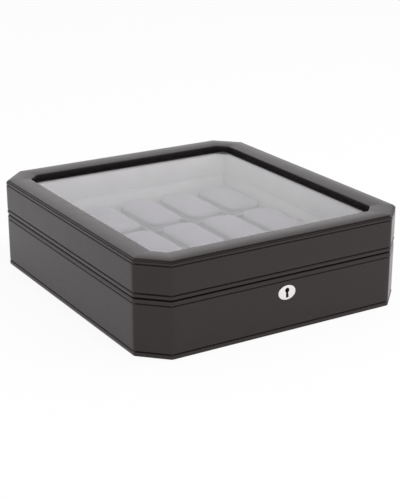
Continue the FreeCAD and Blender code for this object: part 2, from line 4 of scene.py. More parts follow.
import bmesh
import bpy
import numpy as np
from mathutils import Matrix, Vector


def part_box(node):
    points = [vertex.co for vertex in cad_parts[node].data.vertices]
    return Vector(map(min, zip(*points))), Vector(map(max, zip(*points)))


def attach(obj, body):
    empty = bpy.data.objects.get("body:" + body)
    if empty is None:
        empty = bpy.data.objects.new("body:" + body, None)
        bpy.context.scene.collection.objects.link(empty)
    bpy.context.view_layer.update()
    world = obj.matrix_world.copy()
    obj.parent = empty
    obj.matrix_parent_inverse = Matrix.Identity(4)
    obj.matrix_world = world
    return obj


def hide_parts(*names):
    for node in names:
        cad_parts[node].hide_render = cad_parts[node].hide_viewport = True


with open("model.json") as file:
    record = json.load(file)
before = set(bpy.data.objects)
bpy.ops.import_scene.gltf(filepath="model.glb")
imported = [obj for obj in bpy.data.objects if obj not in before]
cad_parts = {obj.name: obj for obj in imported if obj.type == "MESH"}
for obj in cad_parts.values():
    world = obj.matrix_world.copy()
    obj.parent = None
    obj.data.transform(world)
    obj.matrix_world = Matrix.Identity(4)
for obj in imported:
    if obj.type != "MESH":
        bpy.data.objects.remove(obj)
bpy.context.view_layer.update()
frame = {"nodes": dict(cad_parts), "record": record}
nodes = frame["nodes"]
bodyOf = {node: body for body, members in frame["record"]["behaviour"]["bodies"].items() for node in members}
slotOf = {part["node"]: part["material_slot"] for part in frame["record"]["subparts"]}
mm = 0.001
print("frame loaded:", len(nodes), "nodes")

# The plan of the box, read from the frame: an octagon with four short cut corners
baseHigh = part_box("base_leather_wrap")[1]
lidLow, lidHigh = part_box("lid_leather_wrap")
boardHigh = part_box("base_bottom_board")[1]
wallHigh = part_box("base_front_wall")[1]
halfX, halfY = baseHigh.x, baseHigh.y
hide = halfX - boardHigh.x  # thickness of the leather
rimInset = halfY + wallHigh.y  # outer face to the inner edge of the leather rims
shrink = 2 - math.sqrt(2)  # a cut corner's leg loses this much for each step inwards
cornerCut = boardHigh.x - wallHigh.x + hide * shrink
sideTurn = np.radians(-90 + 45 * np.arange(8))  # outward directions, from the front anticlockwise
sideOut = np.stack([np.cos(sideTurn), np.sin(sideTurn)], -1)
sideAlong = np.stack([-sideOut[:, 1], sideOut[:, 0]], -1)
mitre = math.tan(math.pi / 8)


def cornerPoints(inset):
    # corner k, at the start of side k, of the plan moved in by inset
    x, y = halfX - inset, halfY - inset
    leg = cornerCut - inset * shrink
    a, b = x - leg, y - leg
    ring = ((-a, -y), (a, -y), (x, -b), (x, b), (a, y), (-a, y), (-x, b), (-x, -b))
    return np.stack([np.stack(point, -1) for point in ring])


def sideStops(step, extra=None):
    # places along each side, from its middle, no further apart than step, plus any extra ones
    runs = [halfX - cornerCut, cornerCut / math.sqrt(2), halfY - cornerCut, cornerCut / math.sqrt(2)] * 2
    stops = []
    for k, run in enumerate(runs):
        reach = run - 1.2 * rimInset * mitre  # stays clear of the turns at the inner edge of the rims
        even = np.linspace(-reach, reach, max(2, round(2 * reach / step)) + 1)
        stops.append(np.unique(np.round(np.concatenate([even, (extra or {}).get(k, [])]), 6)))
    return stops


def planRing(inset, rounding, stops, turns=5):
    # Corner k turns about the corner of the plan moved in by inset + rounding, through an eighth of a
    # circle of that rounding; side k then runs straight through its stops. Returns ring by profile by 2.
    inset, rounding = np.broadcast_arrays(np.asarray(inset, float), np.asarray(rounding, float))
    corner = cornerPoints(inset + rounding)
    rows = []
    for k in range(8):
        turn = sideTurn[k] - math.pi / 4 * np.linspace(1, 0, turns)
        spoke = np.stack([np.cos(turn), np.sin(turn)], -1)
        rows.append(corner[k] + rounding[:, None] * spoke[:, None])
        middle = (corner[k] + corner[(k + 1) % 8]) / 2 + rounding[:, None] * sideOut[k]
        rows.append(middle + stops[k][:, None, None] * sideAlong[k])
    return np.concatenate(rows)


def atLevels(ring, z):
    # a ring of plan points by profile, with the heights of the profile
    return np.concatenate([ring, np.broadcast_to(z[None, :, None], (*ring.shape[:2], 1))], -1)


def gridFaces(rows, columns, closeRows=True, closeColumns=False):
    # quads of a grid of points, wound so that a ring carried anticlockwise with its profile running
    # from the top outwards and down faces outwards
    r = np.arange(rows if closeRows else rows - 1)
    c = np.arange(columns if closeColumns else columns - 1)
    r, c = np.meshgrid(r, c, indexing="ij")
    r2, c2 = (r + 1) % rows, (c + 1) % columns
    quads = np.stack([r * columns + c, r * columns + c2, r2 * columns + c2, r2 * columns + c], -1)
    return quads.reshape(-1, 4)


def crease(mesh, sharp):
    # smooth shading, broken where faces meet at more than the sharp angle
    mesh.shade_smooth()
    mesh.set_sharp_from_angle(angle=math.radians(sharp))


def linkPiece(name, mesh, sharp):
    # an object at the origin with the place in its mesh
    crease(mesh, sharp)
    piece = bpy.data.objects.new(name, mesh)
    bpy.context.scene.collection.objects.link(piece)
    return piece


def putMesh(name, points, faces, finish, sharp=40):
    # points as an array with XYZ last, faces as an array of quads or a list
    mesh = bpy.data.meshes.new(name)
    corners = faces.tolist() if isinstance(faces, np.ndarray) else faces
    mesh.from_pydata(np.asarray(points).reshape(-1, 3).tolist(), [], corners)
    mesh.update()
    mesh.materials.append(finish)
    return linkPiece(name, mesh, sharp)


def applyModifiers(piece, sharp=40):
    # the evaluated mesh takes the place of the piece's own, and its creases are marked again
    graph = bpy.context.evaluated_depsgraph_get()
    done = bpy.data.meshes.new_from_object(piece.evaluated_get(graph))
    piece.modifiers.clear()
    old, piece.data = piece.data, done
    bpy.data.meshes.remove(old)
    crease(done, sharp)
    return piece


def stand(piece, body, slot, *replaced):
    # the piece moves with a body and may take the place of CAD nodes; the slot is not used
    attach(piece, body)
    if replaced:
        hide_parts(*replaced)
    return piece


# Finishes

def newFinish(name):
    # a material with its tree, its shader and the coordinates of the piece it is on
    finish = bpy.data.materials.new(name)
    finish.use_nodes = True
    tree = finish.node_tree
    coords = tree.nodes.new("ShaderNodeTexCoord")
    return finish, tree, tree.nodes["Principled BSDF"], coords.outputs["Object"]


def addNode(tree, kind, inputs=None, **settings):
    # a node with its settings; an input takes a link or a plain value
    made = tree.nodes.new(kind)
    for key, value in settings.items():
        setattr(made, key, value)
    for key, value in (inputs or {}).items():
        if isinstance(value, bpy.types.NodeSocket):
            tree.links.new(value, made.inputs[key])
        else:
            made.inputs[key].default_value = value
    return made


def noise(tree, coords, size, detail=3.0, rough=0.5):
    # cloudy noise with lumps of about the given size
    settings = {"Vector": coords, "Scale": 1 / size, "Detail": detail, "Roughness": rough}
    return addNode(tree, "ShaderNodeTexNoise", settings).outputs["Fac"]


def blendColors(tree, factor, first, second):
    # from the first colour to the second as the factor rises from 0 to 1
    mix = addNode(tree, "ShaderNodeMix", data_type="RGBA")
    tree.links.new(factor, mix.inputs[0])
    mix.inputs[6].default_value = (*first, 1)
    mix.inputs[7].default_value = (*second, 1)
    return mix.outputs[2]


def spread(tree, factor, low, high):
    # a noise of about 0.3 to 0.7 stretched to run from low to high
    settings = {"Value": factor, "From Min": 0.3, "From Max": 0.7, "To Min": low, "To Max": high}
    return addNode(tree, "ShaderNodeMapRange", settings).outputs["Result"]


def tint(tree, shader, look, factor, worn=None):
    # the colour runs from dark to pale by the factor, and the roughness over its range by worn or by it
    tree.links.new(blendColors(tree, factor, look["dark"], look["pale"]), shader.inputs["Base Color"])
    worn = factor if worn is None else worn
    tree.links.new(spread(tree, worn, *look["rough"]), shader.inputs["Roughness"])


def eitherRay(tree, first, second):
    # 1 for a ray of the first or of the second kind, 0 for any other
    return addNode(tree, "ShaderNodeMath", {0: first, 1: second}, operation="MAXIMUM").outputs[0]


def addBump(tree, shader, height, strength, distance, under=None):
    # fine relief of the given depth, on top of the relief under it
    settings = {"Height": height, "Strength": strength, "Distance": distance}
    if under is not None:
        settings["Normal"] = under
    bump = addNode(tree, "ShaderNodeBump", settings)
    tree.links.new(bump.outputs["Normal"], shader.inputs["Normal"])
    return bump.outputs["Normal"]


leatherLook = {
    "dark": (0.0085, 0.0040, 0.0048),
    "pale": (0.0135, 0.0068, 0.0080),
    "rough": (0.21, 0.29),
    "gloss": (1.0, 0.95, 0.935),
    "mottle": 18 * mm,
    "grain": 0.75 * mm,  # width of a pebble of the grain
    "crease": 2.2 * mm,
    "grainDepth": 0.07 * mm,
    "waves": 26 * mm,  # slow unevenness of the skin over the board
    "waveDepth": 0.10 * mm,
}
threadLook = {
    "dark": (0.003, 0.003, 0.003),
    "pale": (0.007, 0.006, 0.006),
    "rough": (0.55, 0.75),
    "shine": 0.2,
    "ply": 0.5 * mm,
    "plyDepth": 0.1 * mm,
}
# a dark dull finish; on the rims of the parting its colour is painted shade
edgePaintShadeLook = {
    "dark": (0.004, 0.003, 0.003),
    "pale": (0.008, 0.006, 0.006),
    "rough": (0.5, 0.65),
    "shine": 0.2,
    "streak": 3 * mm,
}
suedeLook = {
    "rough": (0.86, 0.98),
    "shine": 0.15,
    "sheenRough": 0.45,
    "stroke": 22 * mm,  # nap brushed one way and the other
    "fibre": 0.45 * mm,
    "fibreDepth": 0.25 * mm,
    "lining": {"dark": (0.42, 0.40, 0.42), "pale": (0.51, 0.488, 0.51), "sheen": 0.25},
    # the dividers' suede is darker than the lining and the cushions: painted shade in the gaps between the
    # cushions
    "divider": {"dark": (0.115, 0.106, 0.122), "pale": (0.155, 0.144, 0.163), "sheen": 0.12},
    "cushion": {"dark": (0.178, 0.163, 0.197), "pale": (0.250, 0.230, 0.273), "sheen": 0.30},
}
feltLook = {
    "dark": (0.006, 0.006, 0.006),
    "pale": (0.028, 0.027, 0.027),
    "rough": (0.9, 1.0),
    "sheen": 0.3,
    "fibre": 0.9 * mm,
    "fibreDepth": 0.4 * mm,
}
boardLook = {
    "dark": (0.20, 0.12, 0.065),
    "pale": (0.38, 0.26, 0.16),
    "rough": (0.75, 0.9),
    "chip": 1.6 * mm,
    "chipDepth": 0.15 * mm,
}
metalLook = {  # grain counts the polishing marks in a metre along X, Y and Z
    "polishedNickel": {
        "dark": (0.86, 0.84, 0.82),
        "pale": (0.95, 0.935, 0.915),
        "rough": (0.10, 0.20),
        "grain": (900, 900, 90),
    },
    "nickelPlate": {
        "dark": (0.62, 0.605, 0.58),
        "pale": (0.74, 0.725, 0.70),
        "rough": (0.16, 0.30),
        "grain": (60, 900, 900),
    },
    "lockSteel": {
        "dark": (0.36, 0.36, 0.365),
        "pale": (0.50, 0.50, 0.505),
        "rough": (0.30, 0.48),
        "grain": (80, 700, 700),
    },
    "markDepth": 0.05 * mm,
}
glassLook = {
    "body": (0.985, 0.985, 0.985, 1),
    "bend": 1.5,  # index of refraction
    "smear": 60 * mm,
    "rough": (0.0, 0.012),
    "clear": (0.94, 0.94, 0.94, 1),  # what is left of soft light behind the pane
}


def leatherFinish():
    # mottled colour; relief of slow waves, then creases less the pebbles of the grain
    finish, tree, shader, coords = newFinish("blackLeather")
    look = leatherLook
    tint(tree, shader, look, noise(tree, coords, look["mottle"], 5, 0.55))
    shader.inputs["Specular Tint"].default_value = (*look["gloss"], 1)
    waves = noise(tree, coords, look["waves"], 2, 0.4)
    slow = addBump(tree, shader, waves, 0.5, look["waveDepth"])
    cells = {"Vector": coords, "Scale": 1 / look["grain"], "Randomness": 0.95}
    pebbles = addNode(tree, "ShaderNodeTexVoronoi", cells, feature="SMOOTH_F1").outputs["Distance"]
    creases = noise(tree, coords, look["crease"], 6, 0.6)
    grain = addNode(tree, "ShaderNodeMath", {0: creases, 1: pebbles}, operation="SUBTRACT").outputs[0]
    addBump(tree, shader, grain, 0.45, look["grainDepth"], slow)
    return finish


def threadFinish():
    # dull thread with the relief of its plies
    finish, tree, shader, coords = newFinish("waxedThread")
    look = threadLook
    ply = noise(tree, coords, look["ply"], 2)
    tint(tree, shader, look, ply)
    shader.inputs["Specular IOR Level"].default_value = look["shine"]
    addBump(tree, shader, ply, 0.4, look["plyDepth"])
    return finish


def edgePaintShadeFinish():
    # dull dark paint with faint streaks; on the rims of the parting it is painted shade
    finish, tree, shader, coords = newFinish("edgePaintAndShade")
    look = edgePaintShadeLook
    tint(tree, shader, look, noise(tree, coords, look["streak"], 3))
    shader.inputs["Specular IOR Level"].default_value = look["shine"]
    return finish


def suedeFinish(kind):
    # the colour follows half the sum of brushed strokes and fibres; the fibres give roughness and relief
    finish, tree, shader, coords = newFinish(kind + "Suede")
    look = {**suedeLook, **suedeLook[kind]}
    strokes = noise(tree, coords, look["stroke"], 4, 0.6)
    fibres = noise(tree, coords, look["fibre"], 3, 0.7)
    nap = addNode(tree, "ShaderNodeMath", {0: strokes, 1: fibres}, operation="ADD").outputs[0]
    half = addNode(tree, "ShaderNodeMath", {0: nap, 1: 0.5}, operation="MULTIPLY").outputs[0]
    tint(tree, shader, look, spread(tree, half, 0, 1), fibres)
    shader.inputs["Specular IOR Level"].default_value = look["shine"]
    shader.inputs["Sheen Weight"].default_value = look["sheen"]
    shader.inputs["Sheen Roughness"].default_value = look["sheenRough"]
    shader.inputs["Sheen Tint"].default_value = (*look["pale"], 1)
    addBump(tree, shader, fibres, 0.5, look["fibreDepth"])
    return finish


def feltFinish():
    # matted fibres with a little sheen
    finish, tree, shader, coords = newFinish("blackFelt")
    look = feltLook
    fibres = noise(tree, coords, look["fibre"], 5, 0.75)
    tint(tree, shader, look, fibres)
    shader.inputs["Sheen Weight"].default_value = look["sheen"]
    addBump(tree, shader, fibres, 0.8, look["fibreDepth"])
    return finish


def boardFinish():
    # pressed chips, dark to pale
    finish, tree, shader, coords = newFinish("fibreboard")
    look = boardLook
    chips = noise(tree, coords, look["chip"], 6, 0.7)
    tint(tree, shader, look, spread(tree, chips, 0, 1), chips)
    addBump(tree, shader, chips, 0.3, look["chipDepth"])
    return finish


def metalFinish(name):
    # polishing marks drawn out along the axis with the smallest grain
    finish, tree, shader, coords = newFinish(name)
    look = metalLook[name]
    mapped = addNode(tree, "ShaderNodeMapping", {"Vector": coords, "Scale": look["grain"]}).outputs["Vector"]
    marks = noise(tree, mapped, 1.0, 4, 0.6)
    tint(tree, shader, look, spread(tree, marks, 0, 1), marks)
    shader.inputs["Metallic"].default_value = 1.0
    addBump(tree, shader, marks, 0.06, metalLook["markDepth"])
    return finish


def glassFinish():
    # a real pane to the eye and in reflections; lamps and soft light pass straight through it
    finish, tree, shader, coords = newFinish("windowGlass")
    look = glassLook
    smears = noise(tree, coords, look["smear"], 3, 0.5)
    tree.links.new(spread(tree, smears, *look["rough"]), shader.inputs["Roughness"])
    shader.inputs["Base Color"].default_value = look["body"]
    shader.inputs["IOR"].default_value = look["bend"]
    shader.inputs["Transmission Weight"].default_value = 1.0
    clear = addNode(tree, "ShaderNodeBsdfTransparent", {"Color": look["clear"]})
    path = addNode(tree, "ShaderNodeLightPath").outputs
    soft = eitherRay(tree, path["Is Shadow Ray"], path["Is Diffuse Ray"])
    pane = addNode(tree, "ShaderNodeMixShader", {0: soft, 1: shader.outputs[0], 2: clear.outputs[0]})
    tree.links.new(pane.outputs[0], tree.nodes["Material Output"].inputs["Surface"])
    return finish


blackLeather = leatherFinish()
thread = threadFinish()
edgePaintAndShade = edgePaintShadeFinish()
liningSuede = suedeFinish("lining")
dividerShadeSuede = suedeFinish("divider")
cushionSuede = suedeFinish("cushion")
polishedNickel = metalFinish("polishedNickel")
finishOf = {
    "black_leather": blackLeather,
    "lining_suede": liningSuede,
    "cushion_suede": cushionSuede,
    "black_felt": feltFinish(),
    "board": boardFinish(),
    "clear_glass": glassFinish(),
    "polished_nickel": polishedNickel,
    "nickel_plate": metalFinish("nickelPlate"),
    "lock_steel": metalFinish("lockSteel"),
}
for name, obj in nodes.items():  # a CAD node keeps its shape and takes the finish of its slot
    obj.data.materials.clear()
    obj.data.materials.append(finishOf[slotOf[name]])
print("finishes made")

# Leather wraps: one skin round each half, stitched close to its edges

wrapShape = {
    "cornerRound": 4.5 * mm,  # upright edges
    "leastRound": 0.3 * mm,  # of those edges where the leather turns in
    "hideShare": 0.95,  # of the CAD leather's thickness
    "step": 20 * mm,  # between the mesh's lines along a side
    "apart": 0.02 * mm,  # least distance between its lines up the side
    "crest": {  # a strip leaning down from the bezel with a fold in it and a round turn into the side
        "seam": (2.1 * mm, 93.4 * mm),
        "lean": 35,
        "round": 0.6 * mm,
        "fold": (-0.37 * mm, 0.60 * mm, 0.30 * mm),  # place from the foot of the strip, depth and half width
        "below": 1.2 * mm,  # length of the side under the turn
    },
    "rimRound": {  # reach inwards and height of the rounded rims
        "lidFoot": (0.4 * mm, 0.4 * mm),
        "baseTop": (2.3 * mm, 3.2 * mm),
        "baseFoot": (0.6 * mm, 0.6 * mm),
    },
    "stitchDrop": {"crest": 2.2 * mm, "lidFoot": 4.4 * mm, "baseTop": 5.3 * mm, "baseFoot": 4.6 * mm},
    "footLevel": 0.1 * mm,  # underside of the leather above the floor
    "parting": {"lid": 0.5 * mm, "base": 0.1 * mm},  # each rim keeps back this much from its CAD level
    "groove": (0.72 * mm, 0.60 * mm),  # depth and half width, along each row of stitches
    "edgeRoll": 0.075,  # swell of the strip outside the stitches, as a share of its width
    "rimShadePaint": {"lid": 0.12 * mm, "base": 1.0 * mm},  # height of the dark paint at each rim of the parting: painted shade in the gap under the lid
    "turnUnder": (5 * mm, 13 * mm),  # outer face to two lines of the leather under the bottom
    "seamFall": ((0.08 * mm, 1.2 * mm), (0.06 * mm, 0.24 * mm)),  # inwards and down, beside the bezel
    "plateGap": 0.2 * mm,  # leather kept back round the lock plates and hinge leaves
    "barrelRoom": 0.6 * mm,  # leather kept back below and above the hinge barrels
    "notchReach": 5 * mm,  # of the hinge notches to the front and the rear of a leaf
    "keyWay": (3 * mm, 6 * mm),  # half width and half height of the slot behind the escutcheon
}
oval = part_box("lock_escutcheon")
keyLevel = (oval[0].z + oval[1].z) / 2
drop = wrapShape["stitchDrop"]
rowLevel = {
    "crest": lidHigh.z - drop["crest"],
    "lidFoot": lidLow.z + drop["lidFoot"],
    "baseTop": baseHigh.z - drop["baseTop"],
    "baseFoot": wrapShape["footLevel"] + drop["baseFoot"],
}


def roundRim(top, bend):
    # a quarter ellipse from the flat rim at top into the upright side
    a = np.linspace(0, math.pi / 2, 20)
    return bend[0] * (1 - np.sin(a)), top - bend[1] * (1 - np.cos(a))


def crestRim():
    # From the seam a straight strip leans down, then a circle touches it and the side, which runs straight
    # down. The fold is a bell curve of the distance along, pressed in along the normal.
    shape = wrapShape["crest"]
    seam, seamZ = shape["seam"]
    lean, r = math.radians(shape["lean"]), shape["round"]
    touch = r * (1 - math.sin(lean))
    strip = (seam - touch) / math.cos(lean)
    back = np.linspace(-strip, 0, 26)
    turn = np.linspace(lean, math.pi / 2, 14)[1:]
    down = np.linspace(0, shape["below"], 13)[1:]
    normal = np.concatenate([np.full(len(back), lean), turn, np.full(len(down), math.pi / 2)])
    middle = seamZ - strip * math.sin(lean) - r * math.cos(lean)
    inset = np.concatenate([touch - back * math.cos(lean), r * (1 - np.sin(turn)), 0 * down])
    z = [middle + r * math.cos(lean) - back * math.sin(lean), middle + r * np.cos(turn), middle - down]
    z = np.concatenate(z)
    away = np.concatenate([back, r * (turn - lean), r * (math.pi / 2 - lean) + down])
    place, depth, width = shape["fold"]
    press = depth * np.exp(-((away - place) / width) ** 2)
    return inset + press * np.sin(normal), z - press * np.cos(normal)


def skinSide(head, foot, bend, rows, levels):
    # The side between its rims: the curve of the head, the upright side and a quarter ellipse under to the
    # flat foot, plus the bell curve of a groove at each stitched row, less a half wave of edge roll from
    # each row out to its rim.
    shape = wrapShape
    a = np.linspace(0, math.pi / 2, 20)
    footReach, footHeight = bend
    upper, lower = head[1][-1], foot + footHeight
    near = np.array([0.15, 0.35, 0.55, 0.8, 1.1, 1.6]) * mm  # closer lines across each groove
    near = np.concatenate([-near, [0], near])
    z = [np.linspace(upper, lower, 15), np.linspace(rows[1], lower, 7), levels]
    z = np.unique(np.round(np.concatenate(z + [row + near for row in rows]), 6))[::-1]
    z = z[(z < upper - shape["apart"]) & (z > lower + shape["apart"])]
    inset = np.concatenate([head[0], np.zeros(len(z)), footReach * (1 - np.cos(a))])
    z = np.concatenate([head[1], z, lower - footHeight * np.sin(a)])
    depth, width = shape["groove"]
    inset += sum(depth * np.exp(-((z - row) / width) ** 2) for row in rows)
    for row, rim in ((rows[0], upper), (rows[1], lower)):
        if min(rows) < row < rim or rim < row < max(rows):
            share = np.clip((z - row) / (rim - row), 0, 1)
            inset -= shape["edgeRoll"] * abs(rim - row) * np.sin(math.pi * share)
    return inset, z


def wrapSkin(name, profile, stops, openings):
    # the profile (inset, height) carried round the plan; faces inside an opening are left out
    inset, z = profile
    rounding = np.maximum(wrapShape["cornerRound"] - np.maximum(inset, 0), wrapShape["leastRound"])
    ring = planRing(inset, rounding, stops)
    points = atLevels(ring, z)
    faces = gridFaces(*points.shape[:2])
    flat = points.reshape(-1, 3)
    middle = flat[faces].mean(1)
    kept = np.ones(len(faces), bool)
    for low, high in openings:
        kept &= ~np.all((middle > low) & (middle < high), -1)
    piece = putMesh(name, flat, faces[kept], blackLeather)
    solid = piece.modifiers.new("hide", "SOLIDIFY")
    solid.thickness = wrapShape["hideShare"] * hide
    solid.offset = -1
    return applyModifiers(piece)


def paintRimShade(piece, low, high):
    # faces with their middle between two heights take the dark edge paint, painted shade along the parting
    faces = piece.data.polygons
    middle = np.empty(len(faces) * 3)
    faces.foreach_get("center", middle)
    z = middle[2::3]
    piece.data.materials.append(edgePaintAndShade)
    faces.foreach_set("material_index", ((z > low) & (z < high)).astype(np.int32))


def opening(low, high, grow, foot, top):
    # a box round a plan from low to high, grown along X and Y, between two heights
    x, y = grow
    return np.array([low.x - x, low.y - y, foot]), np.array([high.x + x, high.y + y, top])


def wraps():
    # each half's profile: its rims and the side between them, from the inside over the top and down
    shape = wrapShape
    gap, room = shape["plateGap"], shape["barrelRoom"]
    bend = shape["rimRound"]
    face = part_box("lock_faceplate")
    plateInsets = [halfY + face[1].y + gap, halfY + face[0].y - gap]
    plateStops = [face[0].x - gap, face[1].x + gap]
    leaves = [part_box("hinge_%s_base_leaf" % side) for side in ("left", "right")]
    hingeStops = [x for low, high in leaves for x in (low.x - gap, high.x + gap)]
    keyX, keyZ = shape["keyWay"]
    notch = gap, shape["notchReach"]
    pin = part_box("hinge_left_pin")
    notchFoot = leaves[0][0].z - room
    notchTop = pin[0].z + pin[1].z - notchFoot  # as far above the axis as its foot is below

    # base: inner edge of the rim, rim, side, foot, turned under
    top, foot = baseHigh.z - shape["parting"]["base"], shape["footLevel"]
    levels = np.array([notchFoot, keyLevel + keyZ, keyLevel - keyZ])
    rim = np.array([rimInset, *plateInsets])
    rim = rim[rim > bend["baseTop"][0] + shape["apart"]]
    head = roundRim(top, bend["baseTop"])
    side = skinSide(head, foot, bend["baseFoot"], (rowLevel["baseTop"], rowLevel["baseFoot"]), levels)
    under = shape["turnUnder"]
    profile = (
        np.concatenate([rim, side[0], under]),
        np.concatenate([np.full(len(rim), top), side[1], np.full(len(under), foot)]),
    )
    openings = [opening(*face, (gap, gap), top - mm, top + mm)]
    openings += [opening(*leaf, notch, notchFoot, top + mm) for leaf in leaves]
    middle = Vector((0, -halfY))
    openings.append(opening(middle, middle, (keyX, mm), keyLevel - keyZ, keyLevel + keyZ))
    stops = sideStops(shape["step"], {0: plateStops + [-keyX, keyX], 4: hingeStops})
    wrap = wrapSkin("base_leather", profile, stops, openings)
    # the base's flat rim and the top of its rounding take the dark paint, painted shade under the lid
    paintRimShade(wrap, top - shape["rimShadePaint"]["base"], top + mm)
    stand(wrap, "base", "black_leather", "base_leather_wrap")

    # lid: strip over the top edge, side, rim turned in
    foot = lidLow.z + shape["parting"]["lid"]
    seam, top = shape["crest"]["seam"]
    levels = np.array([notchTop])
    side = skinSide(crestRim(), foot, bend["lidFoot"], (rowLevel["crest"], rowLevel["lidFoot"]), levels)
    rim = np.array(plateInsets[::-1] + [rimInset])
    tuck, fall = np.array(shape["seamFall"]).T
    profile = (
        np.concatenate([seam + tuck, side[0], rim]),
        np.concatenate([top - fall, side[1], np.full(len(rim), foot)]),
    )
    openings = [opening(*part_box("strike_plate"), (gap, gap), foot - mm, foot + mm)]
    openings += [opening(*leaf, notch, foot - mm, notchTop) for leaf in leaves]
    stops = sideStops(shape["step"], {0: plateStops, 4: hingeStops})
    wrap = wrapSkin("lid_leather", profile, stops, openings)
    # the lid's turned-in rim takes the same dark paint, painted shade in the parting
    paintRimShade(wrap, foot - mm, foot + shape["rimShadePaint"]["lid"])
    stand(wrap, "lid", "black_leather", "lid_leather_wrap")


wraps()
print("leather wraps made")

# Stitching: rows of short waxed threads lying in the grooves

stitchShape = {
    "pitch": 3.7 * mm,
    "length": 2.9 * mm,
    "radius": 0.36 * mm,
    "taper": 0.6,  # share of the thread's section that is gone at its ends
    "seat": 0.16 * mm,  # inset of the thread's middle
    "dive": 0.55 * mm,  # how far its ends go into the leather
    "slant": 4.0,  # degrees off the row
    "cornerGap": 4 * mm,  # length without stitches at the two ends of a side
    "scatter": (0.06 * mm, 0.04, 0.03 * mm),  # of place, length (as a share) and height
}


def stitchRow(name, level, body):
    # Each thread is a spindle: along a from -1 to 1 its middle line dives by the square of a and its
    # radius falls as the root of 1 less the taper times a squared. It is repeated along the eight sides.
    shape = stitchShape
    rings, sides = 5, 6
    a = np.linspace(-1, 1, rings)
    b = np.arange(sides) / sides * 2 * math.pi
    radius = shape["radius"] * np.sqrt(1 - shape["taper"] * a ** 2)
    lie = a * shape["length"] / 2
    slant = math.radians(shape["slant"])
    local = np.stack(
        [
            np.broadcast_to(lie[:, None] * math.cos(slant), (rings, sides)),
            -(shape["seat"] + shape["dive"] * a[:, None] ** 2) + radius[:, None] * np.cos(b),
            lie[:, None] * math.sin(slant) + radius[:, None] * np.sin(b),
        ],
        -1,
    ).reshape(-1, 3)
    corner = cornerPoints(np.array([0.0]))[:, 0]
    random = np.random.default_rng(int(level / mm * 10))  # each row has its own scatter
    shift, stretch, rise = shape["scatter"]
    clouds = []
    for k in range(8):
        start, end = corner[k], corner[(k + 1) % 8]
        run = np.linalg.norm(end - start) - shape["cornerGap"]
        count = max(1, round(run / shape["pitch"]))
        along, out = sideAlong[k], sideOut[k]
        places = (np.arange(count) + 0.5) / count * run - run / 2 + random.normal(0, shift, count)
        middle = (start + end) / 2 + places[:, None] * along
        swing = 1 + random.normal(0, stretch, (count, 1))
        xy = middle[:, None] + (local[:, 0] * swing)[..., None] * along + local[:, 1][None, :, None] * out
        z = level + np.broadcast_to(local[:, 2], (count, len(local))) + random.normal(0, rise, (count, 1))
        clouds.append(np.concatenate([xy, z[..., None]], -1))
    points = np.concatenate(clouds)
    one = gridFaces(rings, sides, closeRows=False, closeColumns=True)[:, ::-1]
    first = np.arange(len(points))[:, None] * len(local)
    faces = (one + first[..., None]).reshape(-1, 4).tolist()
    ends = np.arange(sides)
    faces += (first + ends[::-1]).tolist() + (first + len(local) - sides + ends).tolist()
    piece = putMesh(name, points, faces, thread, 80)
    return stand(piece, body, "black_leather")


stitchRow("stitches_base_top", rowLevel["baseTop"], "base")
stitchRow("stitches_base_foot", rowLevel["baseFoot"], "base")
stitchRow("stitches_lid_top", rowLevel["crest"], "lid")
stitchRow("stitches_lid_foot", rowLevel["lidFoot"], "lid")
print("stitching made")

# Padded bezel round the window

bezelShape = {
    "outer": 2.4 * mm,  # outer face to the seam
    "foot": 91.6 * mm,  # lowest level of the padding at the seam
    "window": 24.65 * mm,  # outer face to the window
    "skin": 1.2 * mm,  # leather down the window opening
    "peak": (11.0 * mm, 94.8 * mm),  # outer face to the highest line, and its height
    "shoulder": (0.4 * mm, 55 * mm),  # rounding at the seam, and of the padding outside the peak
    "roll": (0.9 * mm, 85 * mm),  # rounding at the window, and of the padding inside the peak
    "cornerRound": (1.5 * mm, 5.5 * mm),  # at the seam and at the window
    "swell": 0.08 * mm,  # unevenness of the padding
    "waves": (31 * mm, 27 * mm, 1.3),  # its lengths along X and Y, and where it starts
    "band": 0.25 * mm,  # width of the dark matte band down to the glass
    "bandBed": 0.1 * mm,  # how far that band goes into the leather
    "bandGap": 0.02 * mm,  # between it and the glass
    "step": 9 * mm,  # between the mesh's lines along a side
}


